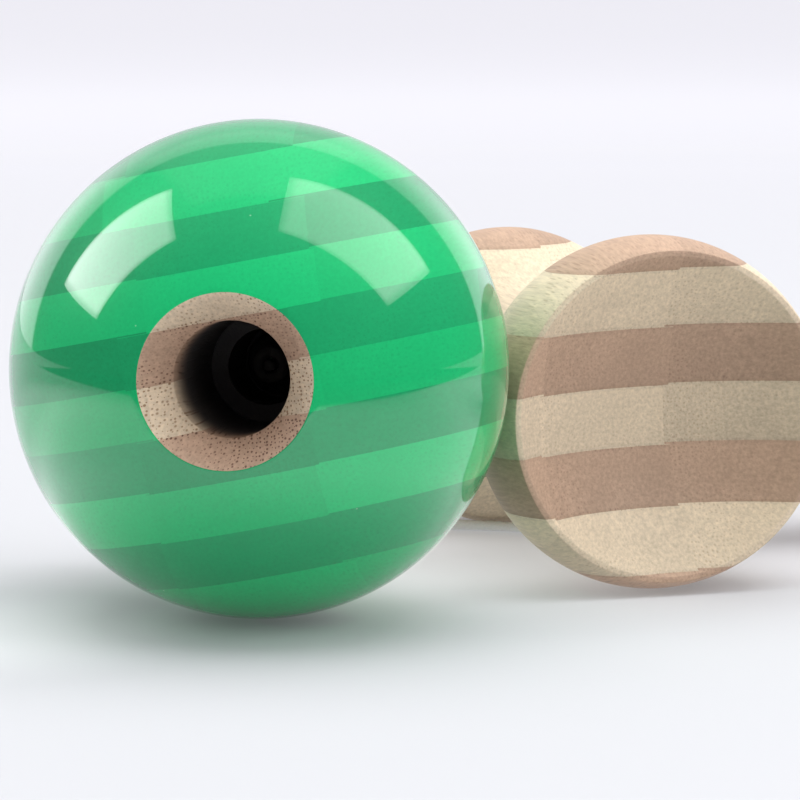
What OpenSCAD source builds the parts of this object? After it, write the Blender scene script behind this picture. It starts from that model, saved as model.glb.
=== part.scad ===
// Kendama at rest on a table: a turned ken with its cross cup, and a ball on a string.
// x runs along the ken towards its base cup, y along the cross cup towards its small cup,
// and z is up from the table. The origin is on the table, in the middle of the toy.

/* [Ball] */
// Diameter of the ball
ball_d = 60; // [56:0.5:66]
// Diameter of the hole's mouth, where the bevel meets the ball
mouth_d = 20.3; // [18:0.1:23]
// Depth of the bevel inside the mouth
bevel_depth = 5.4; // [3:0.1:7]
// Diameter of the straight hole that takes the spike
hole_d = 13.5; // [12:0.1:16]
// Length of the straight hole
hole_len = 29; // [24:0.5:30]
// Diameter of the bead's pocket behind the hole
pocket_d = 9.4; // [9:0.1:11]
// Length of the bead's pocket
pocket_len = 15; // [14:0.5:16]

/* [Cross cup] */
// Largest diameter of the big cup
big_cup_d = 44.4; // [42:0.2:48]
// Largest diameter of the small cup
small_cup_d = 41; // [39:0.2:44]
// From the ken's axis to the big cup's widest ring
big_reach = 29.5; // [28:0.1:34]
// From the ken's axis to the small cup's widest ring
small_reach = 23.6; // [23:0.1:30]
// From a cup's widest ring to its rim
rim_reach = 7.6; // [5:0.1:9]
// Radius of a cup's rounded side, along the axis
belly_r = 19; // [17:0.5:19]
// Width of the flat lip round each dish
lip_w = 1; // [0.6:0.1:2]
// Radius of the big cup's dish
big_dish_r = 26; // [24:0.5:32]
// Radius of the small cup's dish
small_dish_r = 25; // [23:0.5:32]
// Diameter of the waist that the ken passes through
waist_d = 28; // [26:0.5:30]
// Radius of the hollow curve between the waist and a cup
waist_fillet_r = 14; // [8:0.5:15]

/* [Ken] */
// From the cross cup's axis to the tip of the spike
spike_len = 74; // [64:0.5:84]
// Diameter of the rounded tip
tip_d = 5.6; // [4:0.1:7]
// Diameter of the small flat that turning leaves on the tip
tip_flat_d = 1; // [0.6:0.1:2]
// Diameter of the spike where it leaves the cross cup
spike_d = 12.8; // [12:0.1:14]
// Diameter of the handle where it enters the cross cup
neck_d = 16.6; // [15.5:0.1:18]
// Diameter of the handle above the base cup
handle_d = 19.6; // [18:0.1:22]
// From the cross cup's axis to the rim of the base cup
base_len = 106; // [96:0.5:116]
// Largest diameter of the base cup
base_cup_d = 36; // [34:0.2:39]
// From the base cup's widest ring to its rim
base_rim_reach = 7; // [4:0.1:8]
// Radius of the base cup's rounded side
base_belly_r = 14; // [10:0.5:15]
// Radius of the hollow curve between the handle and the base cup
base_fillet_r = 12; // [8:0.5:16]
// Radius of the base cup's dish
base_dish_r = 24; // [22:0.5:32]
// Gap between the ken's tapered seat and the cross cup's bore
seat_gap = 0.05; // [0.02:0.01:0.1]

/* [String and bead] */
// Diameter of the string
string_d = 1.4; // [1.2:0.1:1.6]
// Gap between the string and the holes that it passes through
string_gap = 0.6; // [0.4:0.1:0.8]
// Diameter of the bead
bead_d = 8; // [7:0.1:8.4]
// Length of the bead between its flat ends
bead_len = 6.6; // [5:0.1:7]
// Gap between the string and the bead's hole
bead_gap = 0.2; // [0.1:0.05:0.4]
// Gap between the bead and the floor of its pocket
bead_play = 0.2; // [0.1:0.05:0.4]
// Turns of string in each stopper knot
knot_turns = 2.5; // [2:0.5:2.5]
// Gap between neighbouring turns of a knot
knot_gap = 0.5; // [0.45:0.05:0.6]
// Turns in each of the coil's two layers
coil_turns = 2.5; // [1.5:1:3.5]
// Radius of the coil's outer turn
coil_r = 11; // [11:0.5:14]
// Gap between neighbouring turns of the coil
coil_gap = 0.7; // [0.65:0.05:0.8]

/* [Rest] */
// Gap that the ball keeps from the big cup and from the spike
ball_gap = 0.4; // [0.3:0.05:1]
// Turn of the ball's hole from the big cup's side towards the spike's side
hole_yaw = 24; // [10:1:40]
// Upward tilt of the ball's hole
hole_pitch = 4; // [0:1:12]

/* [Hidden] */
$fn = 120;

// How far a cut runs past the face that it opens
overrun = 1;
// How far two curves that meet smoothly reach into each other
curve_lap = 0.002;
// Sides of the string's tube where it runs free, where it is wound, and rings in one turn
run_sides = 8;
wound_sides = 6;
turn_rings = 24;
// Samples between two points of a run
run_steps = 3;

ball_r = ball_d / 2;
mouth_r = mouth_d / 2;
hole_r = hole_d / 2;
pocket_r = pocket_d / 2;
big_r = big_cup_d / 2;
small_r = small_cup_d / 2;
waist_r = waist_d / 2;
tip_r = tip_d / 2;
tip_cut = tip_r - sqrt(pow(tip_r, 2) - pow(tip_flat_d / 2, 2));
spike_r = spike_d / 2;
neck_r = neck_d / 2;
handle_r = handle_d / 2;
base_r = base_cup_d / 2;
string_r = string_d / 2;

// A rounded side's radius at a distance from its widest ring
function belly_at(widest, round, away) = widest - round + sqrt(pow(round, 2) - pow(away, 2));

big_end = big_reach + rim_reach;
small_end = small_reach + rim_reach;
big_rim_r = belly_at(big_r, belly_r, rim_reach);
small_rim_r = belly_at(small_r, belly_r, rim_reach);
base_rim_r = belly_at(base_r, base_belly_r, base_rim_reach);
base_ring = base_len - base_rim_reach;

// The ken's seat in the cross cup is a plain taper from the neck to the spike
seat_mid_r = (spike_r + neck_r) / 2;
seat_slope = (neck_r - spike_r) / waist_d;
seat_reach = big_r;

// Along the ball's hole, from the ball's centre out towards the mouth
mouth_at = sqrt(pow(ball_r, 2) - pow(mouth_r, 2));
hole_top = mouth_at - bevel_depth;
hole_floor = hole_top - hole_len;
pocket_floor = hole_floor - pocket_len;

// A stopper knot is the string wound round itself
knot_pitch = string_d + knot_gap;
knot_bend_r = string_d + knot_gap / 2;
knot_len = knot_turns * knot_pitch + string_d;
knot_r = knot_bend_r + string_r;
ball_knot_at = pocket_floor + bead_play + bead_len + bead_play;
ken_knot_at = seat_mid_r - knot_len - string_gap;
string_hole_r = string_r + string_gap;
stub = string_d;

// The rest pose: the widest rings of the two cups and of the base cup touch the table.
cross_tilt = atan((big_r - small_r) / (big_reach + small_reach));
ken_height = big_r * cos(cross_tilt) - big_reach * sin(cross_tilt);
ken_tilt = asin(ken_height / norm([base_ring, base_r])) - atan(base_r / base_ring);
table_x = -sin(ken_tilt);
table_y = -sin(cross_tilt);
up = [table_x, table_y, sqrt(1 - pow(table_x, 2) - pow(table_y, 2))];
side = [0, up.z, -up.y] / norm([up.y, up.z]);
along = cross(side, up);

// The ball has rolled up against the big cup and the spike, and stands on the table.
ball_dx = sqrt(pow(ball_r + big_r + ball_gap, 2) - pow(ball_r - big_r, 2));
spike_taper = (spike_r - tip_r) / (spike_len - tip_r - waist_r);
spike_at_ball = spike_r - spike_taper * (ball_dx - waist_r);
spike_height = ken_height + ball_dx * tan(ken_tilt);
ball_dy = sqrt(pow(ball_r + spike_at_ball + ball_gap, 2) - pow(ball_r - spike_height, 2));

// The ken's centre and the ball's centre, from the middle of the toy's own box on the table
base_out = base_len * cos(ken_tilt) + base_rim_r * sin(ken_tilt);
small_out = small_end * cos(cross_tilt) + small_rim_r * sin(cross_tilt);
ken_centre = [(ball_dx + ball_r - base_out) / 2, (ball_dy + ball_r - small_out) / 2, ken_height];
ball_centre = [ken_centre.x - ball_dx, ken_centre.y - ball_dy, ball_r];
hole_axis = [-sin(hole_yaw) * cos(hole_pitch), -cos(hole_yaw) * cos(hole_pitch), sin(hole_pitch)];
rest_pose = [concat(along, ken_centre.x), concat(side, ken_centre.y), concat(up, ken_centre.z),
             [0, 0, 0, 1]];

// A point or a direction of the ken, in the frame of the whole toy
function turned(v) = [along * v, side * v, up * v];
function placed(p) = turned(p) + ken_centre;

// The string's route over the table, from the table under the ken's centre. The first run leaves
// the cross cup downwards and ends at the coil, and the second leaves the coil, hangs from the
// spike and ends at the ball.
route_to_coil = [[0, 0.6, 3.6], [0, 1.8, 1.8], [0, 4, 0.9], [0, 7, 0.8], [0, 10.5, 0.8], [-1.2, 13.6, 0.8],
                 [-4, 16, 0.8], [-8, 18.3, 0.8], [-13, 21, 0.8], [-19, 24.6, 0.8], [-26, 28, 0.8],
                 [-34, 30.4, 0.8], [-39, 31, 0.8]];
route_to_ball = [[-41, 9, 2.6], [-39, 8.6, 4.4], [-37.9, 7.6, 7.6], [-37.5, 6.6, 12], [-37.3, 6.2, 17],
                 [-37.2, 6.1, 21.6], [-37.2, 5.4, 25], [-37.3, 3.4, 27.7], [-37.5, 0.4, 28.6],
                 [-38.1, -2.6, 28.3]];
coil_centre = [-46, 20, 0.8];
coil_pitch = string_d + coil_gap;
coil_climb = coil_pitch;

ken_foot = [ken_centre.x, ken_centre.y, 0];
coil_at = ken_foot + coil_centre;
string_leaves_ken = placed([0, 0, -(waist_r + stub)]);
string_meets_ball = ball_centre - hole_axis * (ball_r + stub);
coil_in = coil_at + [stub, coil_r, 0];
coil_out = coil_at + [stub, -coil_r, coil_climb];

// The coil spirals in on the table, climbs a layer in half a turn and spirals out again
coil_inner_r = coil_r - coil_turns * coil_pitch;
half_turn = 0.5;
function coil_radius(t) = t < coil_turns ? coil_r - t * coil_pitch
                        : t < coil_turns + half_turn ? coil_inner_r
                        : coil_inner_r + (t - coil_turns - half_turn) * coil_pitch;
function coil_rise(t) = let (u = min(max((t - coil_turns) / half_turn, 0), 1)) u * u * (3 - 2 * u) * coil_climb;
coil_sweep = 2 * coil_turns + half_turn;
coil_steps = coil_sweep * turn_rings;
coil_line = concat(
    [coil_in],
    [for (i = [0 : coil_steps]) let (t = i / turn_rings, a = 90 + t * 360, r = coil_radius(t))
        coil_at + [r * cos(a), r * sin(a), coil_rise(t)]],
    [coil_out]);

knot_line = [for (i = [0 : knot_turns * turn_rings]) let (a = i * 360 / turn_rings)
    [knot_bend_r * cos(a), knot_bend_r * sin(a), string_r + knot_pitch * a / 360]];

// A smooth line through given points
function between(a, b, c, d, t) = (2 * b + (c - a) * t + (2 * a - 5 * b + 4 * c - d) * t * t
                                  + (3 * b - a - 3 * c + d) * t * t * t) / 2;
function smooth(p, steps) = let (n = len(p) - 1) concat(
    [for (i = [0 : n - 1], k = [0 : steps - 1])
        between(p[max(i - 1, 0)], p[i], p[i + 1], p[min(i + 2, n)], k / steps)], [p[n]]);

function unit(v) = v / norm(v);
function heading(p, i) = unit(p[min(i + 1, len(p) - 1)] - p[max(i - 1, 0)]);
// The side direction at each point, carried along the line without twist
function carried(p, first, last, i = 0, out = []) =
    i == len(p) ? out
    : let (h = i == 0 ? first : i == len(p) - 1 ? last : heading(p, i),
           before = i == 0 ? (abs(h.z) < abs(h.x) ? [0, 0, 1] : [0, 1, 0]) : out[i - 1][0],
           s = unit(before - h * (before * h)))
      carried(p, first, last, i + 1, concat(out, [[s, cross(h, s)]]));

// A tube of string along a line, closed at both ends and square to the given end directions
module tube(p, first, last, sides) {
    frames = carried(p, first, last);
    n = len(p);
    rings = [for (i = [0 : n - 1], k = [0 : sides - 1]) let (a = k * 360 / sides)
        p[i] + string_r * (cos(a) * frames[i][0] + sin(a) * frames[i][1])];
    walls = [for (i = [0 : n - 2], k = [0 : sides - 1])
        let (a = i * sides + k, b = i * sides + (k + 1) % sides, c = a + sides, d = b + sides)
        each [[a, c, b], [b, c, d]]];
    start_cap = [for (k = [1 : sides - 2]) [0, k, k + 1]];
    end_cap = [for (k = [1 : sides - 2]) let (e = (n - 1) * sides) [e, e + k + 1, e + k]];
    polyhedron(rings, concat(walls, start_cap, end_cap));
}

// The least gap between one turn of the coil and another, measured on its points
coil_gaps = [for (i = [0 : len(coil_line) - 1], j = [i + turn_rings / 2 : 1 : len(coil_line) - 1])
    norm(coil_line[i] - coil_line[j]) - string_d];
echo(coil_least_gap = min(coil_gaps));

// The area between the axis and a rounded side, from one height to another
module belly(widest, round, at, from, to) {
    intersection() {
        union() {
            translate([widest - round, at]) circle(round);
            translate([0, at - round]) square([widest - round, 2 * round]);
        }
        translate([0, from]) square([widest, to - from]);
    }
}

// How far a hollow curve's centre lies from a rounded side's widest ring, where the two meet smoothly
function hollow_from(widest, round, stem, hollow) =
    sqrt(pow(round + hollow - curve_lap, 2) - pow(stem + hollow - widest + round, 2));

// How far the centre of a dish's round lies outside its rim
function dish_back(dish, edge) = sqrt(pow(dish, 2) - pow(edge, 2));

module cross_cup_outline() {
    big_hollow = hollow_from(big_r, belly_r, waist_r, waist_fillet_r) - big_reach;
    small_hollow = small_reach - hollow_from(small_r, belly_r, waist_r, waist_fillet_r);
    outer = waist_r + waist_fillet_r;
    difference() {
        union() {
            belly(big_r, belly_r, -big_reach, -big_end, 0);
            belly(small_r, belly_r, small_reach, 0, small_end);
            difference() {
                polygon([[0, -big_reach], [big_r - belly_r, -big_reach], [outer, big_hollow],
                         [outer, small_hollow], [small_r - belly_r, small_reach], [0, small_reach]]);
                translate([outer, big_hollow]) circle(waist_fillet_r);
                translate([outer, small_hollow]) circle(waist_fillet_r);
                translate([waist_r, big_hollow]) square([outer, small_hollow - big_hollow]);
            }
        }
        translate([-big_r, -big_end]) square([big_r, big_end + small_end]);
    }
}

module ken_outline() {
    hollow = base_ring - hollow_from(base_r, base_belly_r, handle_r, base_fillet_r);
    outer = handle_r + base_fillet_r;
    difference() {
        union() {
            translate([0, tip_r - spike_len]) circle(tip_r);
            polygon([[0, tip_r - spike_len], [tip_r, tip_r - spike_len], [spike_r, -waist_r],
                     [neck_r, waist_r], [handle_r, hollow], [0, hollow]]);
            difference() {
                polygon([[0, hollow], [outer, hollow], [base_r - base_belly_r, base_ring], [0, base_ring]]);
                translate([outer, hollow]) circle(base_fillet_r);
            }
            belly(base_r, base_belly_r, base_ring, hollow, base_len);
        }
        translate([0, -spike_len]) square([tip_r, tip_cut]);
        translate([-base_r, -spike_len]) square([base_r, spike_len + base_len]);
    }
}

module ball_outline() {
    difference() {
        circle(ball_r);
        polygon([[0, pocket_floor], [pocket_r, pocket_floor], [pocket_r, hole_floor], [hole_r, hole_floor],
                 [hole_r, hole_top], [mouth_r, mouth_at], [mouth_r, ball_r], [0, ball_r]]);
        translate([0, -ball_r]) square([string_hole_r, ball_r]);
        translate([-ball_r, -ball_r]) square([ball_r, ball_d]);
    }
}

// The ken and what is on it are drawn about the ken's centre, the ball and what is in it along its hole
module on_ken() {
    multmatrix(rest_pose) children();
}
module in_ball() {
    translate(ball_centre) rotate([0, 90 - hole_pitch, 270 - hole_yaw]) children();
}

module ball() {
    color([0.17, 0.72, 0.44]) in_ball() rotate_extrude() ball_outline();
}

module ken() {
    color([0.87, 0.78, 0.65]) on_ken() difference() {
        rotate([0, 90, 0]) rotate_extrude() ken_outline();
        translate([base_len + dish_back(base_dish_r, base_rim_r - lip_w), 0, 0]) sphere(base_dish_r);
        translate([0, 0, -neck_d]) cylinder(h = 2 * neck_d, r = string_hole_r);
        translate([0, 0, ken_knot_at]) cylinder(h = neck_d, r = knot_r + string_gap);
    }
}

module cross_cup() {
    color([0.82, 0.70, 0.57]) on_ken() difference() {
        rotate([-90, 0, 0]) rotate_extrude() cross_cup_outline();
        translate([0, -big_end - dish_back(big_dish_r, big_rim_r - lip_w), 0]) sphere(big_dish_r);
        translate([0, small_end + dish_back(small_dish_r, small_rim_r - lip_w), 0]) sphere(small_dish_r);
        translate([-seat_reach, 0, 0]) rotate([0, 90, 0]) cylinder(h = 2 * seat_reach,
            r1 = seat_mid_r - seat_slope * seat_reach + seat_gap, r2 = seat_mid_r + seat_slope * seat_reach + seat_gap);
        translate([0, 0, -waist_r - overrun]) cylinder(h = waist_r + overrun, r = string_hole_r);
    }
}

module bead() {
    color([0.93, 0.91, 0.86]) in_ball() translate([0, 0, pocket_floor + bead_play + bead_len / 2]) difference() {
        intersection() {
            sphere(d = bead_d);
            cylinder(h = bead_len, d = bead_d + overrun, center = true);
        }
        cylinder(h = bead_d + overrun, r = string_r + bead_gap, center = true);
    }
}

module stopper_knot() {
    first = heading(knot_line, 0);
    last = heading(knot_line, len(knot_line) - 1);
    color([0.96, 0.96, 0.95]) tube(knot_line, first, last, wound_sides);
}

module ball_knot() {
    in_ball() translate([0, 0, ball_knot_at]) stopper_knot();
}

module ken_knot() {
    on_ken() translate([0, 0, ken_knot_at]) stopper_knot();
}

module string_in_ball() {
    color([0.96, 0.96, 0.95]) in_ball() translate([0, 0, -ball_r - stub])
        cylinder(h = ball_r + stub + ball_knot_at + knot_len, r = string_r);
}

module string_in_ken() {
    color([0.96, 0.96, 0.95]) on_ken() translate([0, 0, -waist_r - stub])
        cylinder(h = waist_r + stub + ken_knot_at + knot_len, r = string_r);
}

module string_ken_run() {
    line = concat([string_leaves_ken], [for (p = route_to_coil) ken_foot + p], [coil_in]);
    color([0.96, 0.96, 0.95]) tube(smooth(line, run_steps), turned([0, 0, -1]), [-1, 0, 0], run_sides);
}

module string_coil() {
    color([0.96, 0.96, 0.95]) tube(coil_line, [-1, 0, 0], [1, 0, 0], wound_sides);
}

module string_ball_run() {
    line = concat([coil_out], [for (p = route_to_ball) ken_foot + p], [string_meets_ball]);
    color([0.96, 0.96, 0.95]) tube(smooth(line, run_steps), [1, 0, 0], hole_axis, run_sides);
}

ball();
ken();
cross_cup();
bead();
ball_knot();
ken_knot();
string_in_ball();
string_in_ken();
string_ken_run();
string_coil();
string_ball_run();
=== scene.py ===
# %% [markdown]
# # A kendama at rest
#
# A kendama is a turned handle, the ken, with a cross piece that has a cup at each end, and a ball on a
# string. Here it lies on a table: the ball has rolled up against the big cup and the spike.
#
# The imported CAD model is the frame that everything is fitted to, so it is loaded first. The finished
# scene must not be larger than the real toy.

# %% Load the imported model
import math

import bpy
from mathutils import Euler, Matrix, Vector


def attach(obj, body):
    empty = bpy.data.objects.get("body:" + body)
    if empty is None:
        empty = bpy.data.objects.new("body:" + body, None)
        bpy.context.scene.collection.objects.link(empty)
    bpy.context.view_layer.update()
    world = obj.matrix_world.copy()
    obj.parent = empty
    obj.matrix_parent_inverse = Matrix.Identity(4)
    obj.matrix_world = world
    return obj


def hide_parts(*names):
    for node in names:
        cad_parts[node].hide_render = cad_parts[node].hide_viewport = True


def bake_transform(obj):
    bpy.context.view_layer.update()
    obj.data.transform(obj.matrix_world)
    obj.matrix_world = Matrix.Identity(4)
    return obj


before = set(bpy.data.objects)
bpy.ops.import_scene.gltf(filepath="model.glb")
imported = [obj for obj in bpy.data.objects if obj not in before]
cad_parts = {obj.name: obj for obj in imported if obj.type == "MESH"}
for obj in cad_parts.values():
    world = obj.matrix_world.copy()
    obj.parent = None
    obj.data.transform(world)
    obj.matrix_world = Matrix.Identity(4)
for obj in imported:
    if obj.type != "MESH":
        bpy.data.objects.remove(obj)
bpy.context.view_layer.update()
bpy.ops.object.select_all(action="DESELECT")

# %% [markdown]
# ## The sizes and the rest pose
#
# The turned pieces follow the same sizes as the CAD model, in metres. Three rings touch the table: the
# widest ring of the big cup, of the small cup and of the base cup. The big cup is wider than the small
# one, so the cross piece tilts a little, and the ken leans down towards its base. One could place each
# piece by eye, but two matrices that hold where the ken and the ball lie are exact. Each piece can then be
# turned upright on the lathe and laid down.

# %% Sizes of the turned pieces
MM = 0.001
BALL_R = 30 * MM
MOUTH_R, BEVEL_DEPTH = 10.15 * MM, 5.4 * MM
HOLE_R, HOLE_LEN = 6.75 * MM, 29 * MM
POCKET_R, POCKET_LEN = 4.7 * MM, 15 * MM
STRING_D = 1.4 * MM
STRING_HOLE_R = 1.3 * MM
BIG_R, SMALL_R = 22.2 * MM, 20.5 * MM
BIG_REACH, SMALL_REACH = 29.5 * MM, 23.6 * MM
RIM_REACH, BELLY_R, LIP = 7.6 * MM, 19 * MM, 0.7 * MM
BIG_DISH_R, SMALL_DISH_R = 26 * MM, 25 * MM
WAIST_R, WAIST_FILLET_R = 14 * MM, 14 * MM
SPIKE_LEN, TIP_R, TIP_FLAT_R = 74 * MM, 2.8 * MM, 0.5 * MM
SPIKE_R, NECK_R, HANDLE_R = 6.4 * MM, 8.3 * MM, 9.8 * MM
BASE_LEN, BASE_R, BASE_RIM_REACH = 106 * MM, 18 * MM, 7 * MM
BASE_BELLY_R, BASE_FILLET_R, BASE_DISH_R = 14 * MM, 12 * MM, 24 * MM
SEAT_GAP = 0.05 * MM
BALL_GAP = 0.4 * MM
HOLE_YAW, HOLE_PITCH = math.radians(24), math.radians(4)
print("ball", round(2 * BALL_R / MM), "mm across, ken", round((SPIKE_LEN + BASE_LEN) / MM), "mm long")

# %% Where the ken and the ball lie
cross_tilt = math.atan((BIG_R - SMALL_R) / (BIG_REACH + SMALL_REACH))
ken_height = BIG_R * math.cos(cross_tilt) - BIG_REACH * math.sin(cross_tilt)
base_ring = BASE_LEN - BASE_RIM_REACH
ken_tilt = math.asin(ken_height / math.hypot(base_ring, BASE_R)) - math.atan(BASE_R / base_ring)
lean_x, lean_y = -math.sin(ken_tilt), -math.sin(cross_tilt)
up = Vector((lean_x, lean_y, math.sqrt(1 - lean_x**2 - lean_y**2)))
side = Vector((0, up.z, -up.y)).normalized()
along = side.cross(up)

ball_dx = math.sqrt((BALL_R + BIG_R + BALL_GAP)**2 - (BALL_R - BIG_R)**2)
spike_taper = (SPIKE_R - TIP_R) / (SPIKE_LEN - TIP_R - WAIST_R)
spike_there = SPIKE_R - spike_taper * (ball_dx - WAIST_R)
spike_height = ken_height + ball_dx * math.tan(ken_tilt)
ball_dy = math.sqrt((BALL_R + spike_there + BALL_GAP)**2 - (BALL_R - spike_height)**2)


def belly_at(widest, rounding, away):
    """The radius of a rounded cup at a distance from its widest ring."""
    return widest - rounding + math.sqrt(rounding**2 - away**2)


def in_mm(values, digits=1):
    return [round(value / MM, digits) for value in values]


big_end, small_end = BIG_REACH + RIM_REACH, SMALL_REACH + RIM_REACH
big_rim = belly_at(BIG_R, BELLY_R, RIM_REACH)
small_rim = belly_at(SMALL_R, BELLY_R, RIM_REACH)
base_rim = belly_at(BASE_R, BASE_BELLY_R, BASE_RIM_REACH)
base_out = BASE_LEN * math.cos(ken_tilt) + base_rim * math.sin(ken_tilt)
small_out = small_end * math.cos(cross_tilt) + small_rim * math.sin(cross_tilt)
ken_centre = Vector(((ball_dx + BALL_R - base_out) / 2, (ball_dy + BALL_R - small_out) / 2, ken_height))
ball_centre = Vector((ken_centre.x - ball_dx, ken_centre.y - ball_dy, BALL_R))
hole_axis = Vector((-math.sin(HOLE_YAW) * math.cos(HOLE_PITCH),
                    -math.cos(HOLE_YAW) * math.cos(HOLE_PITCH), math.sin(HOLE_PITCH)))
KEN_POSE = Matrix.Translation(ken_centre) @ Matrix((along, side, up)).to_4x4()
BALL_POSE = (Matrix.Translation(ball_centre)
             @ Euler((0, math.pi / 2 - HOLE_PITCH, 1.5 * math.pi - HOLE_YAW)).to_matrix().to_4x4())
print("ken centre", in_mm(ken_centre, 2), "ball centre", in_mm(ball_centre, 2))

# %% [markdown]
# ## The camera
#
# The photograph was taken from close to table height with a long lens. One could turn a camera by hand
# until it looks right. Here its place, turn and focal length come from fitting the outlines of the ball,
# the rim and both cups, which all have known sizes, so everything else falls into place too.

# %% Camera
CAMERA_AT = Vector((-193.8, -471.3, 87.7)) * MM
CAMERA_DOWN, CAMERA_TURN = math.radians(7.427), math.radians(17.991)
LENS_MM, SENSOR_MM = 177.9, 36
camera_data = bpy.data.cameras.new("camera")
camera_data.lens = LENS_MM
camera_data.sensor_width = SENSOR_MM
camera_data.clip_start = 10 * MM
camera = bpy.data.objects.new("camera", camera_data)
camera.location = CAMERA_AT
camera.rotation_euler = (math.pi / 2 - CAMERA_DOWN, 0, -CAMERA_TURN)
bpy.context.scene.collection.objects.link(camera)
bpy.context.scene.camera = camera
print("camera to ball:", round((CAMERA_AT - ball_centre).length / MM), "mm")

# %% [markdown]
# ## The string
#
# The string is one length of twisted nylon. It leaves the cross piece downwards, lies on the table, puts
# its slack away in a flat coil behind the ball, hangs over the spike and goes into the back of the ball. A
# curve with a bevel would give a smooth round cord. Sweeping a three-lobed section that turns as it goes
# gives the strands of a real cord, so the tube is built ring by ring along the route.

# %% The string's route
# Both routes are in millimetres from the point of the table under the ken's centre
ROUTE_TO_COIL = [(0, 0.6, 3.6), (0, 1.8, 1.8), (0, 4, 0.9), (0, 7, 0.8), (0, 10.5, 0.8), (-1.2, 13.6, 0.8),
                 (-4, 16, 0.8), (-8, 18.3, 0.8), (-13, 21, 0.8), (-19, 24.6, 0.8), (-26, 28, 0.8),
                 (-34, 30.4, 0.8), (-39, 31, 0.8)]
ROUTE_TO_BALL = [(-41, 9, 2.6), (-39, 8.6, 4.4), (-37.9, 7.6, 7.6), (-37.5, 6.6, 12), (-37.3, 6.2, 17),
                 (-37.2, 6.1, 21.6), (-37.2, 5.4, 25), (-37.3, 3.4, 27.7), (-37.5, 0.4, 28.6),
                 (-38.1, -2.6, 28.3)]
COIL_CENTRE = Vector((-46, 20, 0.8)) * MM
COIL_R, COIL_PITCH, COIL_TURNS = 11 * MM, 2.1 * MM, 2.5
HALF_TURN, TURN_RINGS, RUN_STEPS = 0.5, 24, 3

ken_foot = Vector((ken_centre.x, ken_centre.y, 0))
coil_at = ken_foot + COIL_CENTRE
string_start = KEN_POSE @ Vector((0, 0, -(WAIST_R + STRING_D)))
string_end = ball_centre - hole_axis * (BALL_R + STRING_D)


def coil_point(turns):
    """A point of the coil, which winds inwards on the table and outwards again on top of itself."""
    inner = COIL_R - COIL_TURNS * COIL_PITCH
    if turns < COIL_TURNS:
        radius = COIL_R - turns * COIL_PITCH
    else:
        radius = inner + max(turns - COIL_TURNS - HALF_TURN, 0) * COIL_PITCH
    rise = min(max((turns - COIL_TURNS) / HALF_TURN, 0), 1)
    angle = math.pi / 2 + turns * 2 * math.pi
    height = rise * rise * (3 - 2 * rise) * COIL_PITCH
    return coil_at + Vector((radius * math.cos(angle), radius * math.sin(angle), height))


def smooth_line(points, steps):
    """A smooth curve through all the points."""
    last = len(points) - 1
    line = []
    for i in range(last):
        a, b, c, d = points[max(i - 1, 0)], points[i], points[i + 1], points[min(i + 2, last)]
        for k in range(steps):
            t = k / steps
            line.append((2 * b + (c - a) * t + (2 * a - 5 * b + 4 * c - d) * t**2
                         + (3 * b - a - 3 * c + d) * t**3) / 2)
    return line + [points[last]]


def by_ken_foot(route):
    return [ken_foot + Vector(point) * MM for point in route]


coil_in = coil_at + Vector((STRING_D, COIL_R, 0))
coil_out = coil_at + Vector((STRING_D, -COIL_R, COIL_PITCH))
first_run = smooth_line([string_start] + by_ken_foot(ROUTE_TO_COIL) + [coil_in], RUN_STEPS)
coil_rings = int((2 * COIL_TURNS + HALF_TURN) * TURN_RINGS)
coil_line = [coil_point(i / TURN_RINGS) for i in range(coil_rings + 1)]
second_run = smooth_line([coil_out] + by_ken_foot(ROUTE_TO_BALL) + [string_end], RUN_STEPS)
string_path = first_run + coil_line + second_run

# %% The string's twisted tube
STRAND_LAY, RING_STEP, RING_SIDES = 4.2 * MM, 0.4 * MM, 15
STRANDS, STRAND_DEPTH = 3, 0.18


def even_line(points, step):
    """The same line in equal steps."""
    line = [points[0]]
    left = step
    for a, b in zip(points, points[1:]):
        length = (b - a).length
        while left <= length:
            line.append(a.lerp(b, left / length))
            left += step
        left -= length
    return line + [points[-1]]


def twisted_tube(name, line, diameter):
    """A closed tube along a line, with grooves between its strands that wind round it."""
    verts, faces = [], []
    heading = (line[1] - line[0]).normalized()
    out = heading.orthogonal().normalized()
    travelled = 0.0
    for i, point in enumerate(line):
        ahead = (line[min(i + 1, len(line) - 1)] - line[max(i - 1, 0)]).normalized()
        out = (out - ahead * out.dot(ahead)).normalized()
        across = ahead.cross(out)
        if i:
            travelled += (point - line[i - 1]).length
        twist = 2 * math.pi * travelled / STRAND_LAY
        for k in range(RING_SIDES):
            angle = 2 * math.pi * k / RING_SIDES
            groove = abs(math.sin(STRANDS * (angle - twist) / 2))
            radius = diameter / 2 * (1 - STRAND_DEPTH * (1 - groove) ** 2)
            verts.append(point + radius * (math.cos(angle) * out + math.sin(angle) * across))
    rings = len(line)
    for i in range(rings - 1):
        for k in range(RING_SIDES):
            a, b = i * RING_SIDES + k, i * RING_SIDES + (k + 1) % RING_SIDES
            faces.append((a, b, b + RING_SIDES, a + RING_SIDES))
    faces.append(tuple(reversed(range(RING_SIDES))))
    faces.append(tuple((rings - 1) * RING_SIDES + k for k in range(RING_SIDES)))
    mesh = bpy.data.meshes.new(name)
    mesh.from_pydata(verts, [], faces)
    mesh.validate()
    tube = bpy.data.objects.new(name, mesh)
    bpy.context.scene.collection.objects.link(tube)
    for polygon in mesh.polygons:
        polygon.use_smooth = True
    return tube


string_line = even_line(string_path, RING_STEP)
string_cord = twisted_tube("string_cord", string_line, STRING_D)
print("string tube:", len(string_cord.data.polygons), "faces")

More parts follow.
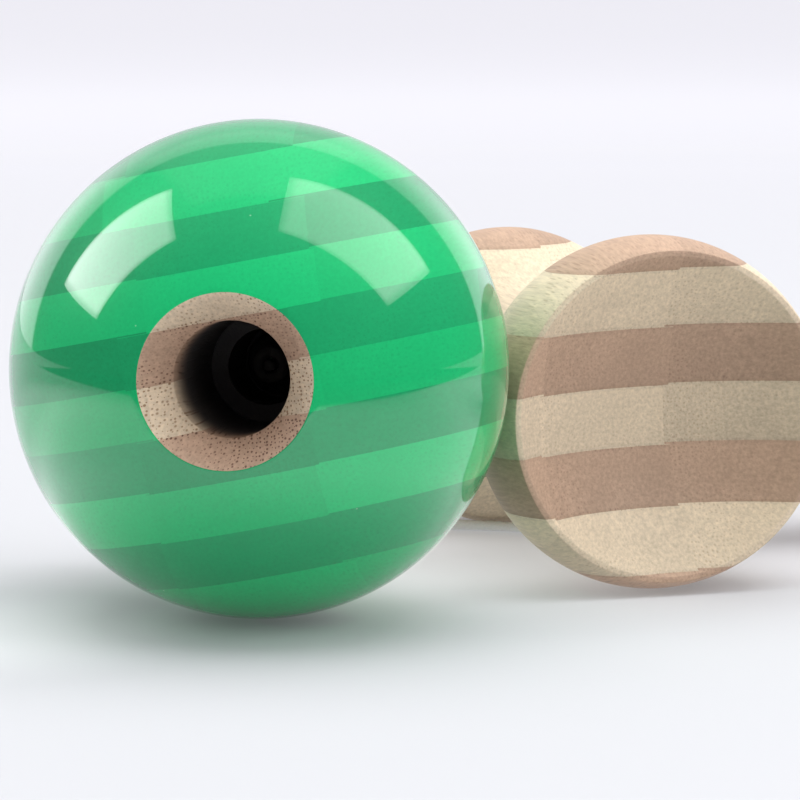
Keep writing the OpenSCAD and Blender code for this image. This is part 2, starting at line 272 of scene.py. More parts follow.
# %% [markdown]
# ## Turning a piece on the lathe
#
# All three wooden pieces are turned. A Screw modifier could do that, but here each is made the way a lathe
# makes it: a profile is drawn point by point with extrude, and the spin tool turns it once round its axis.
# The spin leaves doubles at the seam and at the poles, which are merged before the normals are made to
# point outwards. Edges are then eased with a bevel, holes are cut with boolean modifiers, and the finished
# piece is laid down where the toy lies.

# %% A lathe made of Blender's own tools
SPIN_STEPS = 168
MERGE_WITHIN = 0.002 * MM


def arc(centre, radius, start, end, count):
    return [(centre[0] + radius * math.cos(start + (end - start) * i / count),
             centre[1] + radius * math.sin(start + (end - start) * i / count)) for i in range(count + 1)]


def straight(a, b, count):
    """Equal steps from a to b, without a itself."""
    return [(a[0] + (b[0] - a[0]) * i / count, a[1] + (b[1] - a[1]) * i / count) for i in range(1, count + 1)]


def turned(name, profile, closed=False, steps=SPIN_STEPS):
    bpy.ops.object.select_all(action="DESELECT")
    bpy.ops.mesh.primitive_plane_add(size=MM)
    piece = bpy.context.object
    piece.name = piece.data.name = name
    bpy.ops.object.mode_set(mode="EDIT")
    bpy.ops.mesh.select_mode(type="VERT")
    bpy.ops.mesh.select_all(action="SELECT")
    bpy.ops.mesh.merge(type="CENTER")
    bpy.ops.transform.translate(value=(profile[0][0], 0, profile[0][1]))
    points = list(profile) + ([profile[0]] if closed else [])
    for a, b in zip(points, points[1:]):
        bpy.ops.mesh.extrude_vertices_move(TRANSFORM_OT_translate={"value": (b[0] - a[0], 0, b[1] - a[1])})
    bpy.ops.mesh.select_all(action="SELECT")
    bpy.ops.mesh.spin(steps=steps, angle=2 * math.pi, center=(0, 0, 0), axis=(0, 0, 1))
    bpy.ops.mesh.select_all(action="SELECT")
    bpy.ops.mesh.remove_doubles(threshold=MERGE_WITHIN)
    bpy.ops.mesh.normals_make_consistent(inside=False)
    bpy.ops.object.mode_set(mode="OBJECT")
    print("turned", name, "from a profile of", len(points), "points")
    return piece


# %% Easing, drilling and laying down
SAME_RING = 0.05 * MM
EASE_SEGMENTS = 3
SMOOTH_UNDER = math.radians(32)


def only(piece):
    bpy.ops.object.select_all(action="DESELECT")
    piece.select_set(True)
    bpy.context.view_layer.objects.active = piece


def round_edges(piece, chosen, width):
    """Rounds the edge rings that run round the lathe's axis at the given radius and height."""
    only(piece)
    mesh = piece.data
    bpy.ops.object.mode_set(mode="EDIT")
    bpy.ops.mesh.select_mode(type="EDGE")
    bpy.ops.mesh.select_all(action="DESELECT")
    bpy.ops.object.mode_set(mode="OBJECT")
    for edge in mesh.edges:
        ends = [mesh.vertices[v].co for v in edge.vertices]
        for radius, height in chosen:
            off = [max(abs(math.hypot(p.x, p.y) - radius), abs(p.z - height)) for p in ends]
            if max(off) < SAME_RING:
                edge.select = True
    bpy.ops.object.mode_set(mode="EDIT")
    bpy.ops.mesh.bevel(offset=width, offset_type="WIDTH", segments=EASE_SEGMENTS, profile=0.5, affect="EDGES")
    bpy.ops.object.mode_set(mode="OBJECT")


def drill(piece, cutter):
    only(piece)
    cut = piece.modifiers.new("cut", "BOOLEAN")
    cut.operation = "DIFFERENCE"
    cut.solver = "EXACT"
    cut.object = cutter
    bpy.ops.object.modifier_apply(modifier=cut.name)
    bpy.data.objects.remove(cutter, do_unlink=True)


def drill_round(piece, radius, depth, at, turn, sides):
    bpy.ops.object.select_all(action="DESELECT")
    bpy.ops.mesh.primitive_cylinder_add(vertices=sides, depth=depth, radius=radius, location=at,
                                        rotation=turn)
    drill(piece, bpy.context.object)


def lay_down(piece, pose):
    only(piece)
    piece.matrix_world = pose
    bpy.ops.object.transform_apply(location=True, rotation=True, scale=True)
    bpy.ops.object.shade_smooth_by_angle(angle=SMOOTH_UNDER)
    low = [min(v.co[i] for v in piece.data.vertices) for i in range(3)]
    high = [max(v.co[i] for v in piece.data.vertices) for i in range(3)]
    print(piece.name, "size", in_mm(b - a for a, b in zip(low, high)), len(piece.data.polygons), "faces")


# %% [markdown]
# ## The ball
#
# The ball has a bevelled hole for the spike, a pocket behind it for the bead, and a thin hole for the
# string at the back. A sphere with holes cut by booleans would do, but its faces would be uneven at the
# mouth. The profile runs round all of the holes instead, so the spun shape is closed and even. The lacquer
# stops at the mouth, so the faces inside the hole get a second material.

# %% Ball
BALL_ARC_STEPS, BEVEL_STEPS, HOLE_STEPS, BALL_SPIN_STEPS = 84, 4, 6, 192
MOUTH_EASE, HOLE_EASE = 0.22 * MM, 0.3 * MM
LACQUER_SKIN = BALL_R - 0.07 * MM
ball_mouth = math.sqrt(BALL_R**2 - MOUTH_R**2)
hole_top = ball_mouth - BEVEL_DEPTH
hole_floor = hole_top - HOLE_LEN
pocket_floor = hole_floor - POCKET_LEN
back_angle = math.acos(STRING_HOLE_R / BALL_R)
mouth_angle = math.acos(MOUTH_R / BALL_R)
ball_profile = arc((0, 0), BALL_R, -back_angle, mouth_angle, BALL_ARC_STEPS)
bevel_wall = straight((MOUTH_R, ball_mouth), (HOLE_R, hole_top), BEVEL_STEPS)
hole_wall = straight((HOLE_R, hole_top), (HOLE_R, hole_floor), HOLE_STEPS)
pocket_wall = [(POCKET_R, hole_floor), (POCKET_R, pocket_floor), (STRING_HOLE_R, pocket_floor)]
ball_shell = turned("ball_shell", ball_profile + bevel_wall + hole_wall + pocket_wall, closed=True,
                    steps=BALL_SPIN_STEPS)
round_edges(ball_shell, [(MOUTH_R, ball_mouth)], MOUTH_EASE)
round_edges(ball_shell, [(HOLE_R, hole_top)], HOLE_EASE)
inside_faces = [p.index for p in ball_shell.data.polygons if p.center.length < LACQUER_SKIN]
lay_down(ball_shell, BALL_POSE)

# %% [markdown]
# ## The cross piece
#
# Two cups joined at the waist would leave a seam, so one spun profile makes both: a round dish, a narrow
# lip, a rounded side, and a hollow curve down to the waist. The lips are eased with a small bevel, because
# a turner sands them by hand. The tapered seat for the ken and the hole for the string run across the
# lathe's axis, so they are cut with boolean modifiers.

# %% Profiles of a cup
DISH_STEPS, BELLY_STEPS, HOLLOW_STEPS = 22, 30, 14


def dish(radius, edge, rim_at, facing):
    """The dish from its lowest point to the lip, for a rim that faces down (-1) or up (1) the axis."""
    back = math.sqrt(radius**2 - edge**2)
    steps = [math.asin(edge / radius) * i / DISH_STEPS for i in range(DISH_STEPS + 1)]
    return [(radius * math.sin(t), rim_at + facing * (back - radius * math.cos(t))) for t in steps]


def cup_side(widest, at, facing, rounding, stem, hollow, reach):
    """The rounded side from the rim to the hollow curve's end on the stem."""
    inwards = stem + hollow - widest + rounding
    away = math.sqrt((rounding + hollow)**2 - inwards**2)
    meet = math.atan2(away, inwards)
    belly = arc((widest - rounding, 0), rounding, -math.asin(reach / rounding), meet, BELLY_STEPS)
    curve = arc((stem + hollow, away), hollow, meet + math.pi, math.pi, HOLLOW_STEPS)
    return [(r, at - facing * z) for r, z in belly + curve[1:]]


def backwards(profile):
    return list(reversed(profile))


big_side = cup_side(BIG_R, -BIG_REACH, -1, BELLY_R, WAIST_R, WAIST_FILLET_R, RIM_REACH)
small_side = cup_side(SMALL_R, SMALL_REACH, 1, BELLY_R, WAIST_R, WAIST_FILLET_R, RIM_REACH)
big_dish = dish(BIG_DISH_R, big_rim - LIP, -big_end, -1)
small_dish = dish(SMALL_DISH_R, small_rim - LIP, small_end, 1)
print("cups:", in_mm((2 * big_rim, 2 * small_rim)), "mm across at the rim")

# %% Cross piece
LIP_OUTER_EASE, LIP_INNER_EASE = 0.15 * MM, 0.2 * MM
SEAT_SIDES, STRING_HOLE_SIDES = 96, 32
ON_CROSS_AXIS = Matrix.Rotation(-math.pi / 2, 4, "X")
cross_piece = turned("cross_piece", big_dish + big_side + backwards(small_side) + backwards(small_dish))
round_edges(cross_piece, [(big_rim, -big_end), (small_rim, small_end)], LIP_OUTER_EASE)
round_edges(cross_piece, [(big_rim - LIP, -big_end), (small_rim - LIP, small_end)], LIP_INNER_EASE)
seat_mid, seat_slope = (SPIKE_R + NECK_R) / 2, (NECK_R - SPIKE_R) / (2 * WAIST_R)
bpy.ops.object.select_all(action="DESELECT")
bpy.ops.mesh.primitive_cone_add(
    vertices=SEAT_SIDES, depth=2 * BIG_R, radius1=seat_mid - seat_slope * BIG_R + SEAT_GAP,
    radius2=seat_mid + seat_slope * BIG_R + SEAT_GAP, rotation=(0, math.pi / 2, 0))
drill(cross_piece, bpy.context.object)
drill_round(cross_piece, STRING_HOLE_R, 2 * WAIST_R, (0, WAIST_R, 0), (math.pi / 2, 0, 0), STRING_HOLE_SIDES)
lay_down(cross_piece, KEN_POSE @ ON_CROSS_AXIS)

# %% [markdown]
# ## The ken
#
# The ken is spike, seat, handle and base cup. These could be four pieces, but a real one is turned from one
# blank, so one profile holds them all. It is mostly hidden behind the ball and the big cup here, but it is
# finished like the rest, because the toy is seen from all sides. The string's hole runs through the seat,
# with a wider bore above it that takes the stopper knot.

# %% Ken
KNOT_BORE_R, KNOT_SEAT, KNOT_BORE_SIDES = 2.95 * MM, 0.6 * MM, 40
TIP_STEPS, SPIKE_STEPS, SEAT_STEPS, HANDLE_STEPS, KEN_SPIN_STEPS = 10, 10, 6, 10, 128
BASE_EASE = 0.2 * MM
ON_KEN_AXIS = Matrix.Rotation(math.pi / 2, 4, "Y")
ACROSS_KEN = (0, math.pi / 2, 0)
base_side = cup_side(BASE_R, base_ring, 1, BASE_BELLY_R, HANDLE_R, BASE_FILLET_R, BASE_RIM_REACH)
base_dish = dish(BASE_DISH_R, base_rim - LIP, BASE_LEN, 1)
tip_angle = math.asin(TIP_FLAT_R / TIP_R)
tip = [(TIP_R * math.sin(t), TIP_R - SPIKE_LEN - TIP_R * math.cos(t))
       for t in (tip_angle + (math.pi / 2 - tip_angle) * i / TIP_STEPS for i in range(TIP_STEPS + 1))]
spike = straight(tip[-1], (SPIKE_R, -WAIST_R), SPIKE_STEPS)
seat = straight(spike[-1], (NECK_R, WAIST_R), SEAT_STEPS)
handle = straight(seat[-1], base_side[-1], HANDLE_STEPS)
ken_profile = ([(0, tip[0][1])] + tip + spike + seat + handle + backwards(base_side)[1:]
               + backwards(base_dish))
ken_turned = turned("ken_turned", ken_profile, steps=KEN_SPIN_STEPS)
round_edges(ken_turned, [(base_rim, BASE_LEN), (base_rim - LIP, BASE_LEN)], BASE_EASE)
drill_round(ken_turned, STRING_HOLE_R, 4 * NECK_R, (0, 0, 0), ACROSS_KEN, STRING_HOLE_SIDES)
drill_round(ken_turned, KNOT_BORE_R, 2 * NECK_R, (-KNOT_SEAT - NECK_R, 0, 0), ACROSS_KEN, KNOT_BORE_SIDES)
lay_down(ken_turned, KEN_POSE @ ON_KEN_AXIS)

# %% [markdown]
# ## The string's ends
#
# Inside the toy the string runs straight through the ken and through the ball, and each end is wound into
# a stopper knot that can't slip back through its hole. Down the hole of the ball one sees the turns of the
# knot, so a plain lump would not do: each knot is the same twisted tube, laid on a helix round the
# straight end.

# %% String ends and stopper knots
KNOT_TURNS, KNOT_PITCH = 2.5, 1.9 * MM
KNOT_BEND_R, KNOT_LEN = 1.65 * MM, 6.15 * MM
BEAD_LEN, BEAD_PLAY = 6.6 * MM, 0.2 * MM
ball_knot_at = pocket_floor + BEAD_LEN + 2 * BEAD_PLAY


def knot_line(pose, start):
    line = []
    for i in range(int(KNOT_TURNS * TURN_RINGS) + 1):
        turn = i / TURN_RINGS
        angle = 2 * math.pi * turn
        height = start + STRING_D / 2 + KNOT_PITCH * turn
        line.append(pose @ Vector((KNOT_BEND_R * math.cos(angle), KNOT_BEND_R * math.sin(angle), height)))
    return line


def straight_end(pose, low, high):
    return even_line([pose @ Vector((0, 0, low)), pose @ Vector((0, 0, high))], RING_STEP)


through_ball = straight_end(BALL_POSE, -BALL_R - STRING_D, ball_knot_at + KNOT_LEN)
through_ken = straight_end(KEN_POSE, -WAIST_R - STRING_D, KNOT_SEAT + KNOT_LEN)
string_ends = {
    "string_in_ball": twisted_tube("cord_through_ball", through_ball, STRING_D),
    "ball_knot": twisted_tube("knot_in_ball", knot_line(BALL_POSE, ball_knot_at), STRING_D),
    "string_in_ken": twisted_tube("cord_through_ken", through_ken, STRING_D),
    "ken_knot": twisted_tube("knot_in_ken", knot_line(KEN_POSE, KNOT_SEAT), STRING_D),
}
print("string ends:", ", ".join(piece.name for piece in string_ends.values()))

# %% [markdown]
# ## Shared effects: glued plies and bamboo fibres
#
# The wood is bamboo, glued up from light and steamed brown plies, each made of narrow strips. Separate
# blocks of mesh for each ply would work, but the turned shape would have to be cut up. Two node groups
# carry the pattern instead, so the ball, the cross piece and the ken can share it. The first says which
# ply and which strip a point is in. The second draws the fibre bundles: round dots where the surface cuts
# across the fibres, and streaks where it runs along them. Both read coordinates in millimetres with x
# across the strips, y along the fibres and z across the plies.

# %% Helpers for node trees
FLOAT, VECTOR = "NodeSocketFloat", "NodeSocketVector"


def add(tree, kind, links=None, **settings):
    node = tree.nodes.new(kind)
    for name, value in settings.items():
        setattr(node, name, value)
    for key, value in (links or {}).items():
        socket = node.inputs[key]
        if isinstance(value, bpy.types.NodeSocket):
            tree.links.new(value, socket)
        else:
            socket.default_value = value
    return node


def maths(tree, operation, *values):
    return add(tree, "ShaderNodeMath", dict(enumerate(values)), operation=operation).outputs[0]


def vectors(tree, operation, a, b, output="Value"):
    return add(tree, "ShaderNodeVectorMath", {0: a, 1: b}, operation=operation).outputs[output]


def ramped(tree, value, low, high, to_low=0.0, to_high=1.0):
    return add(tree, "ShaderNodeMapRange", {0: value, 1: low, 2: high, 3: to_low, 4: to_high},
               interpolation_type="SMOOTHSTEP").outputs[0]


def mixed(tree, factor, a, b, blend="MIX"):
    node = add(tree, "ShaderNodeMix", {0: factor, 6: a, 7: b}, data_type="RGBA", blend_type=blend)
    return node.outputs[2]


def by_chance(tree, dimensions, **source):
    return add(tree, "ShaderNodeTexWhiteNoise", source, noise_dimensions=dimensions).outputs["Value"]


def parts_of(tree, vector):
    return add(tree, "ShaderNodeSeparateXYZ", {0: vector}).outputs


def clouds(tree, vector, scale, detail, output=0, **settings):
    sockets = {"Vector": vector, "Scale": scale, "Detail": detail, **settings}
    return add(tree, "ShaderNodeTexNoise", sockets).outputs[output]


def new_group(name, inputs, outputs):
    tree = bpy.data.node_groups.new(name, "ShaderNodeTree")
    for label, kind in inputs:
        tree.interface.new_socket(name=label, in_out="INPUT", socket_type=kind)
    for label in outputs:
        tree.interface.new_socket(name=label, in_out="OUTPUT", socket_type=FLOAT)
    print("node group", name, "puts out", ", ".join(outputs))
    return tree, tree.nodes.new("NodeGroupInput").outputs, tree.nodes.new("NodeGroupOutput").inputs


# %% Glued plies
SEAM_FULL_MM, SEAM_GONE_MM = 0.1, 0.55
CELL_SEED = 3.7
PLY_LAYOUT = ("Ply", "Ply Start", "Strip", "Strip Start", "Step", "Shift")
ply_inputs = [("Vector", VECTOR)] + [(label, FLOAT) for label in PLY_LAYOUT]
plies, ply_in, ply_out = new_group(
    "glued_plies", ply_inputs, ["Brown", "Shade", "Seam", "Across Ply", "Across Strip"])
place = parts_of(plies, ply_in["Vector"])


def counted(position, start, size):
    return maths(plies, "DIVIDE", maths(plies, "SUBTRACT", position, ply_in[start]), ply_in[size])


def moved(position, chance, most):
    return maths(plies, "ADD", position,
                 maths(plies, "MULTIPLY", maths(plies, "SUBTRACT", chance, 0.5), ply_in[most]))


first_ply = maths(plies, "FLOOR", counted(place["Z"], "Ply Start", "Ply"))
drift = by_chance(plies, "1D", W=first_ply)
strip_at = counted(moved(place["X"], drift, "Shift"), "Strip Start", "Strip")
strip = maths(plies, "FLOOR", strip_at)
lift = by_chance(plies, "1D", W=strip)
ply_at = counted(moved(place["Z"], lift, "Step"), "Ply Start", "Ply")
ply = maths(plies, "FLOOR", ply_at)
brown = maths(plies, "FLOORED_MODULO", ply, 2.0)
cell = add(plies, "ShaderNodeCombineXYZ", {"X": ply, "Y": strip, "Z": CELL_SEED}).outputs[0]
shade = by_chance(plies, "3D", Vector=cell)
across_ply = maths(plies, "FRACT", ply_at)
nearest_seam = maths(plies, "MINIMUM", across_ply, maths(plies, "SUBTRACT", 1.0, across_ply))
seam_mm = maths(plies, "MULTIPLY", nearest_seam, ply_in["Ply"])
seam = ramped(plies, seam_mm, SEAM_FULL_MM, SEAM_GONE_MM, 1.0, 0.0)
for label, value in (("Brown", brown), ("Shade", shade), ("Seam", seam), ("Across Ply", across_ply),
                     ("Across Strip", maths(plies, "FRACT", strip_at))):
    plies.links.new(value, ply_out[label])
print("glued plies:", len(plies.nodes), "nodes")

# %% Bamboo fibres
SWAY_SCALE, SWAY_MM = 0.09, 1.6
DOT_SMALL, DOT_LARGE, DOT_CORE = 0.16, 0.37, 0.3
ALONG_FIBRES = (1.0, 0.06, 1.0)
FINE_SCALE, SLOW_SCALE = 2.3, 0.16
fibres, fibre_in, fibre_out = new_group(
    "bamboo_fibres", [("Vector", VECTOR), ("Spacing", FLOAT)], ["Bundles", "Fine", "Slow"])
sway = clouds(fibres, fibre_in["Vector"], SWAY_SCALE, 1.0, "Color")
swayed = add(fibres, "ShaderNodeVectorMath", {0: sway, 1: (SWAY_MM, 0.0, SWAY_MM), 2: fibre_in["Vector"]},
             operation="MULTIPLY_ADD").outputs[0]
spot = parts_of(fibres, swayed)
section = add(fibres, "ShaderNodeCombineXYZ", {"X": spot["X"], "Y": spot["Z"]}).outputs[0]
per_bundle = maths(fibres, "DIVIDE", 1.0, fibre_in["Spacing"])
bundle = add(fibres, "ShaderNodeTexVoronoi", {"Vector": section, "Scale": per_bundle, "Randomness": 0.7},
             feature="F1", voronoi_dimensions="2D").outputs
chance = add(fibres, "ShaderNodeSeparateColor", {0: bundle["Color"]}).outputs[0]
dot_size = ramped(fibres, chance, 0.0, 1.0, DOT_SMALL, DOT_LARGE)
dots = ramped(fibres, bundle["Distance"], maths(fibres, "MULTIPLY", dot_size, DOT_CORE), dot_size, 1.0, 0.0)
drawn = vectors(fibres, "MULTIPLY", swayed, ALONG_FIBRES, "Vector")
fine = clouds(fibres, drawn, FINE_SCALE, 3.0, Roughness=0.65)
slow = clouds(fibres, drawn, SLOW_SCALE, 2.0)
for label, value in (("Bundles", dots), ("Fine", fine), ("Slow", slow)):
    fibres.links.new(value, fibre_out[label])
print("bamboo fibres:", len(fibres.nodes), "nodes")

# %% [markdown]
# ## Bare bamboo
#
# Bare bamboo is matt, with a light and a brown ply, darker fibre bundles and a little unevenness from
# strip to strip. One colour with noise would look like any wood, so each of these is a layer of its own. A
# Mapping node turns the table's coordinates into the piece's own, in millimetres, because the plies tilt
# with the piece. Inside the hole of the ball the wood gets darker with depth: this is painted shade for
# the deep hole.

# %% Which way the grain runs
CROSS_PLY_TURN = math.radians(-2.8)
BALL_PLY_UP = Vector((-0.143, 0.151, 0.978))
ply_normal = (BALL_PLY_UP - hole_axis * BALL_PLY_UP.dot(hole_axis)).normalized()
strip_way = hole_axis.cross(ply_normal)
WOOD_FRAMES = {
    "cross": KEN_POSE @ Matrix.Rotation(CROSS_PLY_TURN, 4, "Y"),
    "ken": KEN_POSE @ Matrix.Rotation(math.radians(90), 4, "Z"),
    "ball": (Matrix.Translation(ball_centre)
             @ Matrix((strip_way, hole_axis, ply_normal)).transposed().to_4x4()),
}


def in_wood(tree, which):
    """Coordinates in the grain of one piece, in millimetres."""
    place = add(tree, "ShaderNodeTexCoord").outputs["Object"]
    pose = WOOD_FRAMES[which]
    return add(tree, "ShaderNodeMapping", {"Vector": place, "Location": pose.translation,
                                           "Rotation": pose.to_euler(), "Scale": (MM, MM, MM)},
               vector_type="TEXTURE").outputs[0]


print("ply normal of the ball:", [round(value, 3) for value in ply_normal])

# %% Helpers for the finishes


def new_material(name):
    material = bpy.data.materials.new(name)
    material.use_nodes = True
    tree = material.node_tree
    return material, tree, tree.nodes["Principled BSDF"]


def plies_and_fibres(tree, which, layout, spacing):
    where = in_wood(tree, which)
    layers = add(tree, "ShaderNodeGroup", node_tree=plies)
    for key, value in zip(PLY_LAYOUT, layout):
        layers.inputs[key].default_value = value
    tree.links.new(where, layers.inputs["Vector"])
    grain = add(tree, "ShaderNodeGroup", node_tree=fibres)
    grain.inputs["Spacing"].default_value = spacing
    tree.links.new(where, grain.inputs["Vector"])
    return layers.outputs, grain.outputs, where


def swing(tree, tone, value, amount):
    """Makes a tone lighter and darker by a value that runs from 0 to 1."""
    return maths(tree, "MULTIPLY_ADD", maths(tree, "SUBTRACT", value, 0.5), amount, tone)


def by_tone(tree, colour, tone):
    grey = add(tree, "ShaderNodeCombineColor", {0: tone, 1: tone, 2: tone}).outputs[0]
    return mixed(tree, 1.0, colour, grey, "MULTIPLY")


def bumped(tree, shader, height, strength, distance):
    bump = add(tree, "ShaderNodeBump", {"Strength": strength, "Distance": distance, "Height": height})
    tree.links.new(bump.outputs[0], shader.inputs["Normal"])


def set_plain(shader, **values):
    for name, value in values.items():
        shader.inputs[name.replace("_", " ")].default_value = value


print("grain frames for:", ", ".join(WOOD_FRAMES))

# %% Bare bamboo
LIGHT_PLY, BROWN_PLY = (0.63, 0.515, 0.375, 1), (0.45, 0.305, 0.215, 1)
LIGHT_BUNDLE, BROWN_BUNDLE = (0.30, 0.19, 0.11, 1), (0.15, 0.075, 0.05, 1)
# Near black, and the depths where it starts and ends: painted shade that darkens the wood of the ball's hole
HOLE_WALL_SHADE = (0.1, 0.092, 0.09, 1)
WALL_SHADE_FROM_MM, WALL_SHADE_TO_MM = hole_top / MM + 1, hole_top / MM - 11
STRIP_SWING, PLY_SWING, FINE_SWING, SLOW_SWING = 0.24, 0.14, 0.8, 0.25
SLOW_LOW, SLOW_HIGH = 0.36, 0.6
CROWD_OVER_STRIP, CROWD_LEAST = (0.02, 0.7, 1.0, 0.5), 0.35
SEAM_TONE = 0.93
FINE_ROUGH, BASE_ROUGH = 0.25, 0.48


def bare_bamboo(name, which, layout, spacing, spots, shade_with_depth=False):
    material, tree, shader = new_material(name)
    layer, grain, where = plies_and_fibres(tree, which, layout, spacing)
    wood = mixed(tree, layer["Brown"], LIGHT_PLY, BROWN_PLY)
    tone = swing(tree, 1.0, layer["Shade"], STRIP_SWING)
    tone = swing(tree, tone, layer["Across Ply"], PLY_SWING)
    tone = swing(tree, tone, grain["Fine"], FINE_SWING)
    tone = swing(tree, tone, grain["Slow"], SLOW_SWING)
    wood = by_tone(tree, wood, tone)
    bundle = mixed(tree, layer["Brown"], LIGHT_BUNDLE, BROWN_BUNDLE)
    crowd = ramped(tree, layer["Across Strip"], *CROWD_OVER_STRIP)
    crowd = maths(tree, "MAXIMUM", crowd, layer["Seam"])
    patchy = ramped(tree, grain["Slow"], SLOW_LOW, SLOW_HIGH, CROWD_LEAST, 1.0)
    crowd = maths(tree, "MULTIPLY", crowd, patchy)
    shown = maths(tree, "MULTIPLY", grain["Bundles"], maths(tree, "MULTIPLY", crowd, spots))
    wood = mixed(tree, shown, wood, bundle)
    wood = by_tone(tree, wood, ramped(tree, layer["Seam"], 0.0, 1.0, 1.0, SEAM_TONE))
    # Painted shade: the wood of the ball's hole goes to near black with depth
    if shade_with_depth:
        unshaded = ramped(tree, parts_of(tree, where)["Y"], WALL_SHADE_TO_MM, WALL_SHADE_FROM_MM)
        wood = mixed(tree, unshaded, HOLE_WALL_SHADE, wood)
    tree.links.new(wood, shader.inputs["Base Color"])
    rough = maths(tree, "MULTIPLY_ADD", grain["Fine"], FINE_ROUGH, BASE_ROUGH)
    tree.links.new(rough, shader.inputs["Roughness"])
    set_plain(shader, Specular_IOR_Level=0.3)
    height = maths(tree, "SUBTRACT", grain["Fine"], shown)
    bumped(tree, shader, height, strength=0.3, distance=0.12 * MM)
    return material


CROSS_PLIES = (7.5, -4.4, 18.5, -16.0, 0.7, 1.6)
BALL_PLIES = (6.06, -5.12, 20.0, -10.3, 0.5, 5.0)
KEN_PLIES = (7.5, -3.75, 19.0, -9.5, 0.6, 3.0)
cross_wood = bare_bamboo("cross_bamboo", "cross", CROSS_PLIES, spacing=0.56, spots=0.36)
ken_wood = bare_bamboo("ken_bamboo", "ken", KEN_PLIES, spacing=0.56, spots=0.4)
mouth_wood = bare_bamboo("mouth_bamboo", "ball", BALL_PLIES, spacing=0.5, spots=1.7, shade_with_depth=True)
print("bare wood:", cross_wood.name, ken_wood.name, mouth_wood.name)

# %% [markdown]
# ## Green lacquer
#
# The ball is dyed and lacquered: the same plies and fibres show through as two greens under a clear coat.
# A glossy green on its own would lose that depth. The Principled shader has a coat of its own, so the dye
# keeps a dull base and the coat gives the sharp reflections. A faint ripple in the coat and a few flecks
# of dust under it keep it from looking like glass.

# %% Green lacquer
LIGHT_GREEN, DARK_GREEN = (0.010, 0.465, 0.152, 1), (0.008, 0.318, 0.113, 1)
DARK_DOT, DUST = (0.006, 0.13, 0.045, 1), (0.6, 0.85, 0.7, 1)
LACQUER_SPACING = 0.6
DYE_STRIP, DYE_FINE, DYE_SLOW = 0.2, 0.3, 0.12
DOTS_LEAST, DOTS_MOST = 0.03, 0.13
FLECK_SCALE, FLECK_CORE, FLECK_EDGE, PEEL_SCALE = 0.2, 0.02, 0.035, 0.7
FLECK_CHANCE = (0.6, 0.7, 0.0, 0.4)
lacquer, tree, shader = new_material("green_lacquer")
layer, grain, where = plies_and_fibres(tree, "ball", BALL_PLIES, LACQUER_SPACING)
green = mixed(tree, layer["Brown"], LIGHT_GREEN, DARK_GREEN)
tone = swing(tree, 1.0, layer["Shade"], DYE_STRIP)
tone = swing(tree, tone, grain["Fine"], DYE_FINE)
tone = swing(tree, tone, grain["Slow"], DYE_SLOW)
green = by_tone(tree, green, tone)
patchy = ramped(tree, grain["Slow"], SLOW_LOW, SLOW_HIGH, DOTS_LEAST, DOTS_MOST)
green = mixed(tree, maths(tree, "MULTIPLY", grain["Bundles"], patchy), green, DARK_DOT)
fleck = add(tree, "ShaderNodeTexVoronoi", {"Vector": where, "Scale": FLECK_SCALE}, feature="F1").outputs
chance = add(tree, "ShaderNodeSeparateColor", {0: fleck["Color"]}).outputs[0]
dust = maths(tree, "MULTIPLY", ramped(tree, fleck["Distance"], FLECK_CORE, FLECK_EDGE, 1.0, 0.0),
             ramped(tree, chance, *FLECK_CHANCE))
tree.links.new(mixed(tree, dust, green, DUST), shader.inputs["Base Color"])
set_plain(shader, Roughness=0.4, Specular_IOR_Level=0.05)
set_plain(shader, Coat_Weight=1.0, Coat_Roughness=0.03, Coat_IOR=1.5)
bumped(tree, shader, clouds(tree, where, PEEL_SCALE, 2.0), strength=0.045, distance=0.2 * MM)
print("lacquer:", lacquer.name)

# %% [markdown]
# ## Nylon and the bead
#
# The string is white nylon and a little fuzzy. A plain white would look like plastic, so it is rough, with
# a fine noise in its colour and bump. Inside the ball its end goes from white to dark with depth, as painted
# shade for the deep hole. The bead is smooth plastic with a faint cloud in it, near black as painted shade
# for the depth of the hole it sits in.

# %% String and bead
NYLON_DULL, NYLON_BRIGHT = (0.82, 0.82, 0.81, 1), (0.95, 0.95, 0.94, 1)
# Near black bead: painted shade for the depth of the hole it sits in
BEAD_DARK, BEAD_LIGHT = (0.02, 0.02, 0.022, 1), (0.06, 0.06, 0.065, 1)
THREAD_SCALE, BEAD_SCALE = 4200.0, 600.0
nylon, tree, shader = new_material("white_nylon")
thread = clouds(tree, add(tree, "ShaderNodeTexCoord").outputs["Object"], THREAD_SCALE, 3.0)
tree.links.new(mixed(tree, thread, NYLON_DULL, NYLON_BRIGHT), shader.inputs["Base Color"])
set_plain(shader, Roughness=0.55)
bumped(tree, shader, thread, strength=0.3, distance=0.1 * MM)

bead_painted_dark, tree, shader = new_material("bead_painted_dark")
cloud = clouds(tree, add(tree, "ShaderNodeTexCoord").outputs["Object"], BEAD_SCALE, 2.0)
tree.links.new(mixed(tree, cloud, BEAD_DARK, BEAD_LIGHT), shader.inputs["Base Color"])
set_plain(shader, Roughness=0.3)
print("string and bead:", nylon.name, bead_painted_dark.name)

